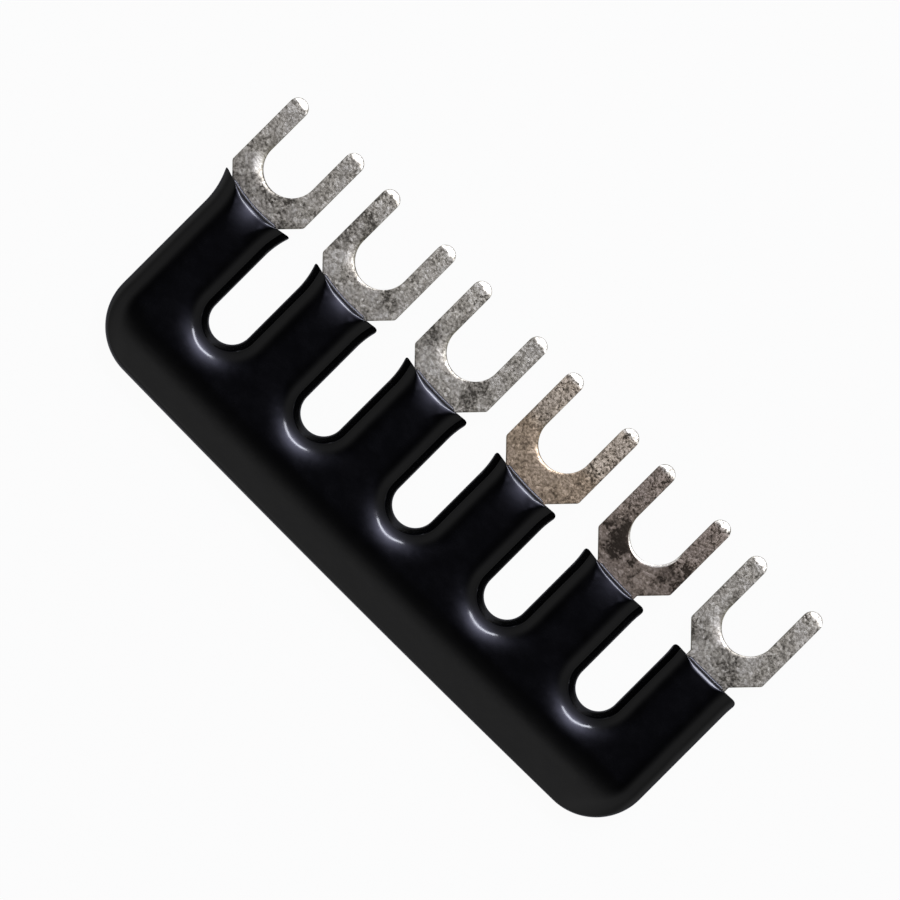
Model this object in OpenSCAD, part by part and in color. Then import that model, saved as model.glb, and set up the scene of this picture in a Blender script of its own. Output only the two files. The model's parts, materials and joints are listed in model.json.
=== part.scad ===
// Fork terminal jumper: a comb of spade forks stamped from one sheet, with a dipped vinyl sleeve
// over its bar and necks. X runs along the row, and Y from the bar to the fork tips.
// The sleeve lies on Z = 0, and the Z axis goes through the middle of the outline.

/* [Row] */
// Number of forks on the comb
positions = 6; // [2:1:12]
// Distance between neighbouring terminal screws
pitch = 9; // [8.5:0.1:14]

/* [Fork comb] */
// Thickness of the stamped sheet
sheet_t = 1; // [0.6:0.1:1.4]
// Width of the bar that joins the necks
bar_w = 3.7; // [3.5:0.1:6]
// Radius of the two outer corners of the bar
bar_corner_r = 3.3; // [1.5:0.1:3.4]
// Width of a neck
neck_w = 3.7; // [3:0.1:4.4]
// Length of a neck from the bar to its shoulders
neck_len = 9.05; // [7:0.05:14]
// Slope of the shoulders, measured from the row
shoulder_angle = 46; // [35:1:55]
// Gap between the two prongs of a fork
fork_gap = 4; // [3.2:0.1:4.6]
// Width of a prong
prong_w = 1.45; // [1.1:0.05:1.8]
// Sheet left between the top of a neck and the bottom of the throat
throat_web = 2; // [1.5:0.05:3]
// Depth of the throat below the prong tips
throat_depth = 6.05; // [4.5:0.05:9]
// Length of the bevel on both faces of a prong's tip
tip_len = 0.7; // [0.3:0.05:1.5]
// Thickness that the bevels leave at the very tip of a prong
tip_land = 0.6; // [0.3:0.05:0.6]

/* [Sleeve] */
// Thickness of the coat on the faces, the sides and in the slots
coat_wall = 1; // [0.7:0.05:1.2]
// Thickness of the coat behind the bar, where it gathers as it drains
coat_back = 1.55; // [1:0.05:2]
// Clearance between the coat and the comb
coat_clearance = 0.02; // [0.01:0.01:0.1]
// Length over which the sleeve thins towards its back edge
back_taper = 2.9; // [2:0.1:3.2]
// Thickness to which it thins at the back edge
back_edge_t = 1; // [0.8:0.1:1.6]

/* [Mouths] */
// Distance from the dip line up to the shoulders, in the middle of the row
dip_margin = 0.1; // [0:0.05:1]
// Tilt of the dip line along the row, in degrees
dip_tilt = 0.95; // [0:0.05:1.2]
// Tilt of each rim across its own tooth, in degrees
rim_tilt = 2; // [0:0.1:4]
// Hollow of the rim across the first tooth
rim_sag_first = 0.34; // [0.05:0.01:0.6]
// Hollow of the rim across the last tooth
rim_sag_last = 0.06; // [0.05:0.01:0.6]
// Rounding of the lip on the first tooth
lip_r_first = 0.7; // [0.2:0.05:0.9]
// Rounding of the lip on the last tooth
lip_r_last = 0.35; // [0.2:0.05:0.9]
// Radius of the curve in which the sides of a tooth flare below its mouth
flare_r = 6; // [4:0.5:10]
// Length of the flare below the shoulders
flare_len = 1.55; // [1:0.05:2.5]

/* [Hidden] */
$fn = 96;

// Comb, measured along Y from the back edge of its bar
last = positions - 1;
row_len = last * pitch;
fork_w = fork_gap + 2 * prong_w;
neck_top = bar_w + neck_len;
shoulder_y = neck_top + (fork_w - neck_w) / 2 * tan(shoulder_angle);
throat_y = neck_top + throat_web + fork_gap / 2;
tip_y = neck_top + throat_web + throat_depth;
comb_len = row_len + neck_w;
comb_slot_w = pitch - neck_w;
slot_y = bar_w + comb_slot_w / 2;

// Sleeve
sleeve_t = sheet_t + 2 * coat_wall;
half_t = sleeve_t / 2;
sleeve_len = comb_len + 2 * coat_wall;
tooth_w = neck_w + 2 * coat_wall;
slot_w = pitch - tooth_w;
corner_r = bar_corner_r + coat_wall;
flare_y = neck_top - flare_len;
mouth_top = neck_top - dip_margin + row_len / 2 * tan(dip_tilt) + tooth_w / 4;

// A round edge meets the flat faces at this small angle, in degrees
crease = 8;
edge_r = half_t / cos(crease);
taper_drop = half_t - back_edge_t / 2;
taper_r = (pow(back_taper, 2) + pow(taper_drop, 2))
    / 2 / (taper_drop * cos(crease) - back_taper * sin(crease));

// Height of the cutters, which pass through the whole sleeve
cut_t = 1.5 * sleeve_t;

function fork_x(i) = (i - last / 2) * pitch;
function slot_x(i) = fork_x(i) + pitch / 2;
function along_row(first_value, last_value, i) = first_value + (last_value - first_value) * i / last;
function rim_y(i) = neck_top - dip_margin - fork_x(i) * tan(dip_tilt);
function rim_r(sag) = (pow(tooth_w / 2, 2) + pow(sag, 2)) / 2 / sag;

// Bar and necks in plan, grown by a clearance
module bar_and_necks(grow = 0) {
    r = bar_corner_r + grow;
    w = comb_len + 2 * grow;
    difference() {
        union() {
            translate([-w / 2, r - grow])
                square([w, neck_top - r + grow]);
            translate([-w / 2 + r, -grow])
                square([w - 2 * r, r + grow]);
            for (side = [-1, 1])
                translate([side * (w / 2 - r), r - grow])
                    circle(r);
        }
        for (i = [0 : last - 1])
            translate([slot_x(i), slot_y]) {
                circle(d = comb_slot_w - 2 * grow);
                translate([grow - comb_slot_w / 2, 0])
                    square([comb_slot_w - 2 * grow, neck_top]);
            }
    }
}

// Shoulders of one fork in plan, up to the throat's centre
module shoulders(grow = 0) {
    neck = neck_w / 2 + grow;
    fork = fork_w / 2 + grow;
    polygon([
        [-neck, neck_top - grow],
        [neck, neck_top - grow],
        [fork, shoulder_y - grow],
        [fork, throat_y],
        [-fork, throat_y],
        [-fork, shoulder_y - grow],
    ]);
}

module fork_plan() {
    prong_x = (fork_gap + prong_w) / 2;
    round_y = tip_y - prong_w / 2;
    difference() {
        shoulders();
        translate([0, throat_y])
            circle(d = fork_gap);
    }
    for (side = [-1, 1])
        translate([side * prong_x, 0]) {
            translate([-prong_w / 2, throat_y])
                square([prong_w, round_y - throat_y]);
            translate([0, round_y])
                circle(d = prong_w);
        }
}

// Sheet in side view, with the bevels at the prong tips
module sheet_side() {
    half = sheet_t / 2;
    bevel_y = tip_y - tip_len;
    polygon([
        [-sheet_t, -half],
        [bevel_y, -half],
        [tip_y, -tip_land / 2],
        [tip_y, tip_land / 2],
        [bevel_y, half],
        [-sheet_t, half],
    ]);
}

// Section of the space from X = start to a rounded edge of the sleeve, which has its crest at X = crest
module edge_space(start, crest, round_r, centre_z = 0) {
    meets_face = sqrt(pow(round_r, 2) - pow(half_t - centre_z, 2));
    difference() {
        translate([start, -cut_t / 2])
            square([crest - start + round_r - meets_face / 2, cut_t]);
        for (z = centre_z > 0 ? [-centre_z, centre_z] : [0])
            translate([crest + round_r, z])
                circle(round_r);
        if (centre_z > 0)
            translate([crest, -centre_z])
                square([round_r, 2 * centre_z]);
    }
}

// Flat ring whose outer rim leaves a rounded edge on what it cuts
module edge_ring(ring_r, round_r, centre_z = 0) {
    rotate_extrude()
        edge_space(ring_r / 4, ring_r, round_r, centre_z);
}

// Solid of a section drawn in Y and Z, run along X
module along_x(length) {
    translate([-length / 2, 0, 0])
        rotate([90, 0, 90])
            linear_extrude(length)
                children();
}

// Solid of a section drawn in X and Z, run along Y
module along_y(y_start, y_end) {
    translate([0, y_end, 0])
        rotate([90, 0, 0])
            linear_extrude(y_end - y_start)
                children();
}

// Half section of the sleeve with its rounded outer edge at X = width
module outer_section(width) {
    difference() {
        translate([0, -half_t])
            square([width, sleeve_t]);
        translate([width, 0])
            mirror([1, 0])
                edge_space(-half_t, 0, edge_r);
    }
}

// Part of the sleeve behind the flares, before its slots
module sleeve_base() {
    corner_y = corner_r - coat_back;
    straight = sleeve_len / 2 - corner_r;
    along_y(corner_y, flare_y)
        for (side = [0, 1])
            mirror([side, 0])
                outer_section(sleeve_len / 2);
    for (side = [0, 1])
        mirror([side, 0, 0])
            translate([straight, corner_y, 0])
                rotate([0, 0, -90])
                    rotate_extrude(angle = 90)
                        outer_section(corner_r);
    translate([0, corner_y, 0])
        along_x(2 * straight)
            mirror([1, 0])
                outer_section(corner_r);
}

// Part of the sleeve at the mouths, with the flared outer sides of the first and last teeth
module sleeve_front() {
    difference() {
        translate([-sleeve_len / 2 - coat_wall, flare_y, -half_t])
            cube([sleeve_len + 2 * coat_wall, mouth_top - flare_y, sleeve_t]);
        for (side = [-1, 1])
            translate([side * (sleeve_len / 2 + flare_r), flare_y, 0])
                edge_ring(flare_r, edge_r);
    }
}

// Thinning of the sleeve towards its back edge, in Y and Z
module back_profile() {
    arc_y = back_taper + taper_r * sin(crease) - coat_back;
    arc_z = taper_r * cos(crease) - half_t;
    intersection() {
        translate([arc_y, -arc_z])
            circle(taper_r);
        translate([arc_y, arc_z])
            circle(taper_r);
    }
    translate([arc_y, -cut_t / 2])
        square([mouth_top, cut_t]);
}

// Slot between two teeth: a round end, straight sides, and sides that close in where the teeth flare
module slot() {
    translate([0, slot_y, 0])
        rotate([0, 0, 180])
            rotate_extrude(angle = 180)
                edge_space(0, slot_w / 2, edge_r);
    along_y(slot_y, flare_y)
        for (side = [0, 1])
            mirror([side, 0])
                edge_space(0, slot_w / 2, edge_r);
    intersection() {
        translate([slot_w / 2 - flare_r, flare_y, 0])
            edge_ring(flare_r, edge_r);
        translate([flare_r - slot_w / 2, flare_y, 0])
            edge_ring(flare_r, edge_r);
        translate([-pitch / 2, flare_y, -cut_t / 2])
            cube([pitch, 2 * (mouth_top - flare_y), cut_t]);
    }
}

// Space in front of one mouth, down to its hollow rim and rounded lip
module mouth(i) {
    lip_r = along_row(lip_r_first, lip_r_last, i);
    r = rim_r(along_row(rim_sag_first, rim_sag_last, i));
    intersection() {
        translate([fork_x(i), rim_y(i), 0])
            rotate([0, 0, -rim_tilt])
                translate([0, r, 0])
                    edge_ring(r, lip_r, half_t - lip_r * cos(crease));
        translate([fork_x(i) - pitch / 2, flare_y, -cut_t / 2])
            cube([pitch, 2 * (mouth_top - flare_y), cut_t]);
    }
}

// Room that the comb takes up inside the sleeve
module comb_room() {
    linear_extrude(sheet_t + 2 * coat_clearance, center = true) {
        bar_and_necks(coat_clearance);
        for (i = [0 : last])
            translate([fork_x(i), 0])
                shoulders(coat_clearance);
    }
}

// Puts the part on Z = 0 with its outline centred
module placed() {
    translate([0, (coat_back - tip_y) / 2, half_t])
        children();
}

module fork_comb() {
    color("silver")
        placed()
            intersection() {
                linear_extrude(2 * sheet_t, center = true) {
                    bar_and_necks();
                    for (i = [0 : last])
                        translate([fork_x(i), 0])
                            fork_plan();
                }
                along_x(comb_len + 2 * fork_w)
                    sheet_side();
            }
}

module insulating_sleeve() {
    color([0.06, 0.06, 0.07])
        placed()
            difference() {
                intersection() {
                    union() {
                        sleeve_base();
                        sleeve_front();
                    }
                    along_x(sleeve_len + 2 * pitch)
                        back_profile();
                }
                for (i = [0 : last - 1])
                    translate([slot_x(i), 0, 0])
                        slot();
                for (i = [0 : last])
                    mouth(i);
                comb_room();
            }
}

fork_comb();
insulating_sleeve();
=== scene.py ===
import json
import math

import bpy
import numpy as np
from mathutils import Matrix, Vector
from mathutils.geometry import delaunay_2d_cdt


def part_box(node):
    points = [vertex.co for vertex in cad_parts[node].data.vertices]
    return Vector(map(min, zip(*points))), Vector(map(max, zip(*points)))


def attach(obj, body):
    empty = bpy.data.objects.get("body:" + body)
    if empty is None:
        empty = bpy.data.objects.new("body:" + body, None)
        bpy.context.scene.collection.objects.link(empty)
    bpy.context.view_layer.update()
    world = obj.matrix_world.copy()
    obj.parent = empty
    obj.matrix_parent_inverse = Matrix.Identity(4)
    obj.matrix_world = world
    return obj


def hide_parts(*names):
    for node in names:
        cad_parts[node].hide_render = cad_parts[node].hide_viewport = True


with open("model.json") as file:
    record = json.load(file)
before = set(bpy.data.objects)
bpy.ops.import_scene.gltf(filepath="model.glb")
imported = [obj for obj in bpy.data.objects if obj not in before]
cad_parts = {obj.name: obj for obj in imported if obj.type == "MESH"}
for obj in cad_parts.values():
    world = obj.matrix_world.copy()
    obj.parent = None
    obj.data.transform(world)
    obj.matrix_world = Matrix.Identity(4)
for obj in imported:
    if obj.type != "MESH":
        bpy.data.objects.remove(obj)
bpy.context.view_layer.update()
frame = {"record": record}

# Lengths are in millimetres, which MM turns into metres, and angles in degrees
MM = 0.001
# Small amounts that keep comparisons and divisions safe
TINY_LENGTH = 1e-6
TINY_AREA = 1e-9

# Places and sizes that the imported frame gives
comb_low, comb_high = [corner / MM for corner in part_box("fork_comb")]
coat_low, coat_high = [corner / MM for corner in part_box("insulating_sleeve")]
throats = [mount for mount in frame["record"]["mounts"] if mount["kind"] == "clamp"]
fork_xs = sorted(mount["pos_m"][0] / MM for mount in throats)
throat_y = throats[0]["pos_m"][1] / MM
throat_r = throats[0]["dims"]["r_mm"]
pitch = fork_xs[1] - fork_xs[0]
slot_xs = [x + pitch / 2 for x in fork_xs[:-1]]
last = len(fork_xs) - 1
mid_z = (comb_low.z + comb_high.z) / 2
sheet_half = (comb_high.z - comb_low.z) / 2
coat_half = (coat_high.z - coat_low.z) / 2
bar_y = comb_low.y
tip_y = comb_high.y
back_y = coat_low.y
fork_half = comb_high.x - fork_xs[-1]
prong_r = (fork_half - throat_r) / 2

# Comb
NECK_W = 3.7
BAR_W = 3.7
BAR_CORNER_R = 3.3
NECK_LEN = 9.05
SHOULDER_ANGLE = 46
SHOULDER_ROUND = 0.12
# How much lower the left shoulder of each fork starts than the right one
LEFT_SHOULDER_DROPS = (0.05, 0.2, 0.15, 0.18, 0.13, 0.0)
neck_half = NECK_W / 2
neck_top = bar_y + BAR_W + NECK_LEN
neck_gap_r = (pitch - NECK_W) / 2
slot_y = bar_y + BAR_W + neck_gap_r
shoulder_y = neck_top + (fork_half - neck_half) * math.tan(math.radians(SHOULDER_ANGLE))
bar_half = fork_xs[-1] + neck_half

# Bevels on the prong tips and on the lower left of the throats, which start at a soft crease
CREASE = 0.03
TIP_LEN = 0.45
TIP_SLOPE = 0.29
TIP_LEAN = 0.14
# Waves in which the crease on the tips wanders: height, radians in a millimetre, and start in radians
TIP_WAVES = ((0.05, 7.3, 0.0), (0.03, 17.0, 1.0))
THROAT_BEVEL_W = 0.19
THROAT_BEVEL_SLOPE = 0.27
THROAT_BEVEL_TURN = 235
THROAT_BEVEL_SPREAD = 80
# Part of a spread round the throats, from its middle, in which the depth is full
SPREAD_CORE = 0.2

# Rolled edge of the comb, deeper where it ends a bevel
ROLL_W = 0.09
ROLL_DROP = 0.01
ROLL_POWER = 1.25
BEVEL_ROLL_W = 0.05
BEVEL_ROLL_DROP = 0.04
# Where it deepens near the tips, measured from the crease
BEVEL_ROLL_BAND = (-0.1, 0.2)

# Wide rolled edge round part of each throat, with its share on each fork
WIDE_ROLL_W = 0.7
WIDE_ROLL_DROP = 0.1
WIDE_ROLL_TURN = 208
WIDE_ROLL_SPREAD = 65
WIDE_ROLL_SHARES = (1.0, 0.75, 0.7, 0.4, 0.2, 0.75)

# Coat, which sits a little to one side on the comb and bows out along its back
COAT_WALL = 1.0
SLOT_WALL = 1.04
CLEARANCE = 0.02
FLARE_R = 6.0
FLARE_LEN = 1.55
LEFT_FLARE_LEN = 1.78
COAT_SHIFT = 0.12
BACK_BOW = 0.16
room_half = sheet_half + CLEARANCE
coat_end = bar_half + COAT_WALL
coat_left = COAT_SHIFT - coat_end
coat_right = COAT_SHIFT + coat_end
coat_corner_r = BAR_CORNER_R + COAT_WALL
coat_straight = coat_end - coat_corner_r
coat_corner_y = back_y + BACK_BOW + coat_corner_r
slot_r = neck_gap_r - SLOT_WALL
flare_y = neck_top - FLARE_LEN
left_flare_y = neck_top - LEFT_FLARE_LEN

# Round edges of the coat, which die into the flat faces, with a longer reach at the slots' ends
SIDE_REACH = 2.65
END_REACH = 2.98
EDGE_POWER = 1.45
EDGE_R = 0.08
# Distance from the outline at which an edge leaves its round, and its curve from there outwards
SIDE_BEND = (0.55, 0.4)
SLOT_BEND = (0.42, 0.0)
# Reach and curl of the tighter roll round the slots
SLOT_ROLL = (0.62, 1.0)

# Back edge of the coat: a wedge, with its reach at the left and the right end, and a blunt nose
WEDGE_REACH = (2.6, 3.27)
WEDGE_SLOPE = 0.344
WEDGE_FADE = 0.32
NOSE_LEN = 0.55
NOSE_HALF = 0.9
NOSE_RISE = 2
NOSE_FADE = 0.15

# Mouths of the coat, tooth by tooth: place of the rim past the shoulders' start, its sag and its tilt
RIMS = (0.245, 0.14, 0.08, -0.075, -0.345, -0.45)
RIM_SAGS = (0.39, 0.3, 0.24, 0.2, 0.18, 0.08)
RIM_TILTS = (3.1, 2.0, 2.0, 1.8, 2.1, 0.0)
LEFT_EAR_ROUNDS = (0.25, 0.28, 0.28, 0.32, 0.36, 0.42)
RIGHT_EAR_ROUNDS = (0.28, 0.5, 0.5, 0.5, 0.45, 0.45)
# Least depth below a rim's ends at which the room for the comb turns towards them
KNEE_DROP = 0.2

# Foot of the lips, thin on the metal, with a fillet up to the wall
FOOT_LEN = 0.14
# Distances from the ends of an opening between which the foot grows to its length
FOOT_ENDS = (0.02, 0.5)
TOE_SLOPE = 0.22
FILLET_R = 0.06
FILLET_CUT = 0.3

# Lips over their upright wall: a round crest, a short slope, and a swell that fades towards the bar
CREST_R = 0.175
CREST_CUT = 0.13
LIP_SLOPES = (0.22, 0.22, 0.2, 0.22, 0.45, 0.31)
LIP_REACHES = (0.42, 0.38, 0.54, 0.44, 0.32, 0.4)
LIP_POWERS = (2.0, 2.0, 2.0, 2.0, 2.0, 1.15)
SWELL_SLOPES = (0.25, 0.24, 0.22, 0.24, 0.15, 0.01)
SWELL_REACHES = (3.0, 2.8, 2.6, 3.0, 3.4, 2.0)
SWELL_POWER = 3
# Distances across a tooth between which the swell gives way to a steeper lip, and how much steeper
SWELL_FADE = (0.1, 2.4)
LIP_GAIN = 2.0
# Width of the blend between lip and edges, and the distances in from the wall between which it ends
EAR_FADES = (0.12, 0.12, 0.12, 0.12, 0.12, 0.03)
EAR_DEPTHS = (0.3, 1.0)

# Steps on straight stretches and along the rims, as multiples of an outline's own step
STRAIGHT_STEP = 2
SIDE_STEP = 1.5
ROOM_SIDE_STEP = 4
RIM_STEP = 0.6
# Points on the curve across a corner, with its two ends
BEND_POINTS = 8

# Mesh of the comb: its outline, and rings inside it, with the distance that points keep
COMB_STEP = 0.13
COMB_APART = 0.01
ROLL_RINGS = (0.015, 0.035, 0.055, 0.075, 0.1)
ROLL_RING_APART = 0.014
THROAT_RINGS = (0.13, 0.16, 0.19, 0.22, 0.26, 0.32, 0.4, 0.5, 0.62, 0.75)
THROAT_RING_APART = 0.03
# Grids of the comb: step, and distance from the points before them
TIP_GRID = (0.08, 0.05)
FORK_GRID = (0.16, 0.09)
BAR_GRID = (0.5, 0.1)
TIP_GRID_MARGIN = 0.2
FORK_GRID_MARGIN = 2

# Mesh of the coat: its outline, and rows along the lips, which widen over the swell
COAT_STEP = 0.15
ROOM_STEP = 0.3
FOOT_ROWS = (0.85, 0.7, 0.55, 0.42, 0.3, 0.2, 0.12, 0.06, 0.02)
CREST_ROWS = 13
SWELL_ROWS = 21
SWELL_ROW_GROWTH = 1.12
ROW_MARGIN = 0.3
ROW_EDGE_GAP = 0.04
ROW_FOOT_GAP = 0.006
ROW_APART = 0.0015
# Rings inside the coat's edges: turns on the small round at the outline, then depths, then growing depths
ROUND_TURNS = (30, 50, 70, 90)
EDGE_RINGS = (0.16, 0.28, 0.4)
WIDE_RINGS = 12
WIDE_RING_GROWTH = 1.18
RIM_GAP = 0.02
RING_LIP_GAP = 0.03
RING_APART = 0.06
RING_APART_SHARE = 0.9
# Grid on the coat's faces: step and distance from the points before it, and its end past the flares' foot
COAT_GRID = (0.4, 0.14)
COAT_GRID_TOP = 3
FACE_EDGE_GAP = 1.0
FACE_LIP_GAP = 0.3
# Half height below which the coat's two faces meet at its outline
SHARP_HALF = 0.002

# Noises of the two finishes: scale and detail, and the part of their range that is used
SWAY_NOISE = (450, 2)
RIPPLE_NOISE = (2600, 1)
GLOSS_NOISE = (900, 3)
SHADE_NOISE = (300, 2)
GRAIN_NOISE = (4600, 2)
FLECK_NOISE = (6800, 1)
PATCH_NOISE = (800, 3)
SPARK_SCALE = 4600
NOISE_SPAN = (0.3, 0.7)
FLECK_SPAN = (0.35, 0.65)
SPARK_SPAN = (0.7, 1.0)

# Finish of the vinyl, with the strength and the height of each bump
VINYL_ROUGHNESS = (0.1, 0.16)
VINYL_COLOURS = ((0.0004, 0.0004, 0.0005, 1), (0.001, 0.001, 0.0013, 1))
SWAY_BUMP = (0.5, 0.03)
RIPPLE_BUMP = (0.5, 0.003)

# Finish of the plate: colours from the lowest tone to the highest, and what each noise adds to the tone
PLATE_ROUGHNESS = (0.43, 0.35)
PLATE_COLOURS = ((0.1, 0.09, 0.067, 1), (0.575, 0.53, 0.405, 1), (1.0, 0.95, 0.76, 1))
GRAIN_BUMP = (0.6, 0.02)
FLECK_BUMP = (0.5, 0.007)
GRAIN_TONES = (0.27, 0.65)
PATCH_TONE = 0.2
FLECK_TONE = 0.11
# Sparks are bright flecks painted into the tone as glints of the plate's grain
PAINTED_GLINT_TONE = 0.42

# Bands of the forks, as distances from the tips: stronger speckle with its painted glints, a painted
# highlight on the tips, and where tarnish ends
SPECKLE_BAND = (2.4, 0.9)
SPECKLE_GAIN = 1.9
# Painted highlight: the tone is raised on the tips, where their bevel catches the lamp
TIP_HIGHLIGHT_BAND = (0.5, 0.3)
TIP_HIGHLIGHT_TONE = 0.4
CLEAN_BAND = (0.8, 0.4)

# Stains and painted highlights, each as its fork, offset across it, distance from its tips, radius and depth,
# which is below 0 for a painted highlight, where the wide rolled edge on the lower left of a throat catches
# the lamp
STAINS_AND_HIGHLIGHTS = (
    # The first four rows are painted highlights on the lower left of throats; the rest are stains
    (0, -1.9, 5.4, 0.95, -0.8),
    (1, -1.9, 5.6, 0.9, -0.35),
    (2, -1.9, 5.6, 0.9, -0.35),
    (5, -1.9, 5.6, 0.9, -0.4),
    (0, -1.6, 6.6, 2.2, 0.4),
    (0, 1.2, 6.9, 2.4, 0.35),
    (1, -2.8, 4.0, 2.8, 0.35),
    (2, -2.8, 5.6, 1.6, 0.55),
    (4, 2.7, 5.4, 1.6, 0.65),
    (5, 0.4, 7.1, 2.0, 0.35),
    (1, 1.9, 6.0, 1.6, 0.35),
    (2, 1.6, 5.6, 1.6, 0.3),
    (4, -1.5, 6.2, 1.75, 1.4),
    (5, -2.2, 6.6, 1.8, 0.4),
)
# Full part of each stain and painted highlight and raggedness of its edge, as shares of its radius, and tone
# at a depth of 1
SPOT_CORE = 0.4
SPOT_RAGGED = 0.3
SPOT_TONE = 0.6

# Warm tarnish on the two forks beside one slot, and a darker one on the second of them
TARNISH_SLOT = 3
TARNISH_REACH = (8.3, 9.3)
TARNISH_TINT = (0.9, 0.75, 0.62, 1)
DARK_FORK = 4
DARK_REACH = (3.6, 6.0)
DARK_TINT = (0.62, 0.65, 0.74, 1)
# Prongs of the tarnished forks, which have more speckle of grain and painted glints and, off the dark fork,
# less of the warm tint
PRONG_BAND = (5.0, 3.8)
PRONG_SPECKLE = 1.5
PRONG_TINT_LOSS = 0.4
# Painted highlight along the edge of the dark fork's throat: how far its circle is moved, in which direction,
# and its fade
THROAT_HIGHLIGHT_SHIFT = 0.15
THROAT_HIGHLIGHT_TURN = 285
THROAT_HIGHLIGHT_FADE = 0.08

# Floor, and the share of white glow that the camera and reflections see in it
FLOOR_SIZE = 6000
FLOOR_GREY = 0.52
CAMERA_GLOW = 0.96
GLOSSY_GLOW = 0.1

# Key lamp
KEY_PLACE = Vector((2.5, 123.6, 210)) * MM
KEY_SIZE = (136 * MM, 21.6 * MM)
KEY_RADIANCE = 16.0
KEY_COLOUR = (0.95, 0.98, 1.08)

# Levels of the studio round the object; heights and fronts are parts of a unit direction
ZENITH_LEVEL = 0.008
WALL_LEVEL = 0.265
WALL_LEAN = 0.11
WALL_HEIGHTS = (0.95, 0.7)
HORIZON_HEIGHTS = (0.05, 0.55)
HORIZON_SHARE = 0.55
LOW_HEIGHTS = (0.02, 0.22)
LOW_LEVEL = 0.38
LOW_FRONT = (0.3, 0.9)
LOW_FRONT_SHARE = 0.45
# Soft glows, each as its direction, strength and sharpness
BACK_GLOW = (Vector((0, -0.62, 0.79)), 0.13, 14.0)
COOL_GLOWS = (
    (KEY_PLACE.normalized(), 3.0, 35.0),
    (KEY_PLACE.normalized(), 0.6, 27.0),
    (Vector((0, 0.86, 0.51)), 0.45, 10.0),
)
COOL_COLOUR = (0.86, 0.87, 1.22, 1)

# Camera, which looks straight down with the row along a diagonal of the picture
FRAME_W = 62.5
CAMERA_AIM = (-0.99, bar_y + 10.74)
CAMERA_HEIGHT = 600.0
CAMERA_TURN = 45
SENSOR_W = 36
CLIP_START = 10
CLIP_END = 20000


def smoothstep(value, start, end):
    t = np.clip((value - start) / (end - start), 0, 1)
    return t * t * (3 - 2 * t)


# Plan curves, each an array of points that stops just short of its end

def line(start, end, step):
    start = np.array(start, float)
    end = np.array(end, float)
    count = max(1, math.ceil(np.hypot(*(end - start)) / step))
    return start + (end - start) * (np.arange(count) / count)[:, None]


def arc(centre, radius, start_deg, end_deg, step):
    sweep = math.radians(end_deg - start_deg)
    count = max(2, math.ceil(abs(sweep) * radius / step))
    turn = math.radians(start_deg) + sweep * np.arange(count) / count
    return np.array(centre) + radius * np.stack([np.cos(turn), np.sin(turn)], 1)


def round_joint(before, after, reach):
    """Both curves cut back from the corner where they meet, with a curve across it."""
    corner = after[0]
    before = before[np.hypot(*(before - corner).T) > reach]
    after = after[np.hypot(*(after - corner).T) > reach]
    t = np.linspace(0, 1, BEND_POINTS)[1:-1, None]
    bend = (1 - t) ** 2 * before[-1] + 2 * t * (1 - t) * corner + t ** 2 * after[0]
    return np.concatenate([before, bend, after])


# Points and triangles of a plan

def inward(loop):
    """Unit normals of a loop that runs anticlockwise, towards its inside."""
    along = np.roll(loop, -1, 0) - np.roll(loop, 1, 0)
    along /= np.hypot(along[:, 0], along[:, 1])[:, None]
    return np.stack([-along[:, 1], along[:, 0]], 1)


def outline_gap(points, loop):
    """Distance from each point to a closed outline, worked out for a batch of points at a time."""
    batch = 2000
    along = np.roll(loop, -1, 0) - loop
    length2 = (along ** 2).sum(1)
    gap = np.empty(len(points))
    for start in range(0, len(points), batch):
        part = points[start:start + batch]
        rel = part[:, None, :] - loop[None]
        t = np.clip((rel * along).sum(2) / length2, 0, 1)
        off = rel - t[..., None] * along
        gap[start:start + batch] = np.sqrt((off ** 2).sum(2).min(1))
    return gap


def nearest(xs, places):
    """Index of the place in an even row that is nearest to each X."""
    spacing = places[1] - places[0]
    return np.clip(np.round((xs - places[0]) / spacing), 0, len(places) - 1).astype(int)


def grid(low, high, step):
    """Points in rows, with every other row moved by half a step."""
    rows = np.arange(low[1], high[1], step * math.sqrt(3) / 2)
    points = []
    for k, y in enumerate(rows):
        xs = np.arange(low[0] + step / 2 * (k % 2), high[0], step)
        points.append(np.stack([xs, np.full_like(xs, y)], 1))
    return np.concatenate(points)


def spaced(groups):
    """Points of each group that keep its distance from all the points before them."""
    cell = max(apart for _, apart in groups)
    seen = {}
    kept = []
    for points, apart in groups:
        for x, y in points:
            column = math.floor(x / cell)
            row = math.floor(y / cell)
            near = [
                p
                for i in (column - 1, column, column + 1)
                for j in (row - 1, row, row + 1)
                for p in seen.get((i, j), ())
            ]
            if all(math.hypot(x - p[0], y - p[1]) >= apart for p in near):
                seen.setdefault((column, row), []).append((x, y))
                kept.append((x, y))
    return np.array(kept)


def triangles(points, loop_count):
    """Triangles that fill the loop made by the first points and use all the others inside it."""
    inside_only = 1
    merge_gap = 1e-7
    edges = [(i, (i + 1) % loop_count) for i in range(loop_count)]
    result = delaunay_2d_cdt([Vector(p) for p in points], edges, [], inside_only, merge_gap)
    assert len(result[0]) == len(points)
    origin = [ids[0] for ids in result[3]]
    return [tuple(origin[v] for v in face) for face in result[2]]


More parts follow.
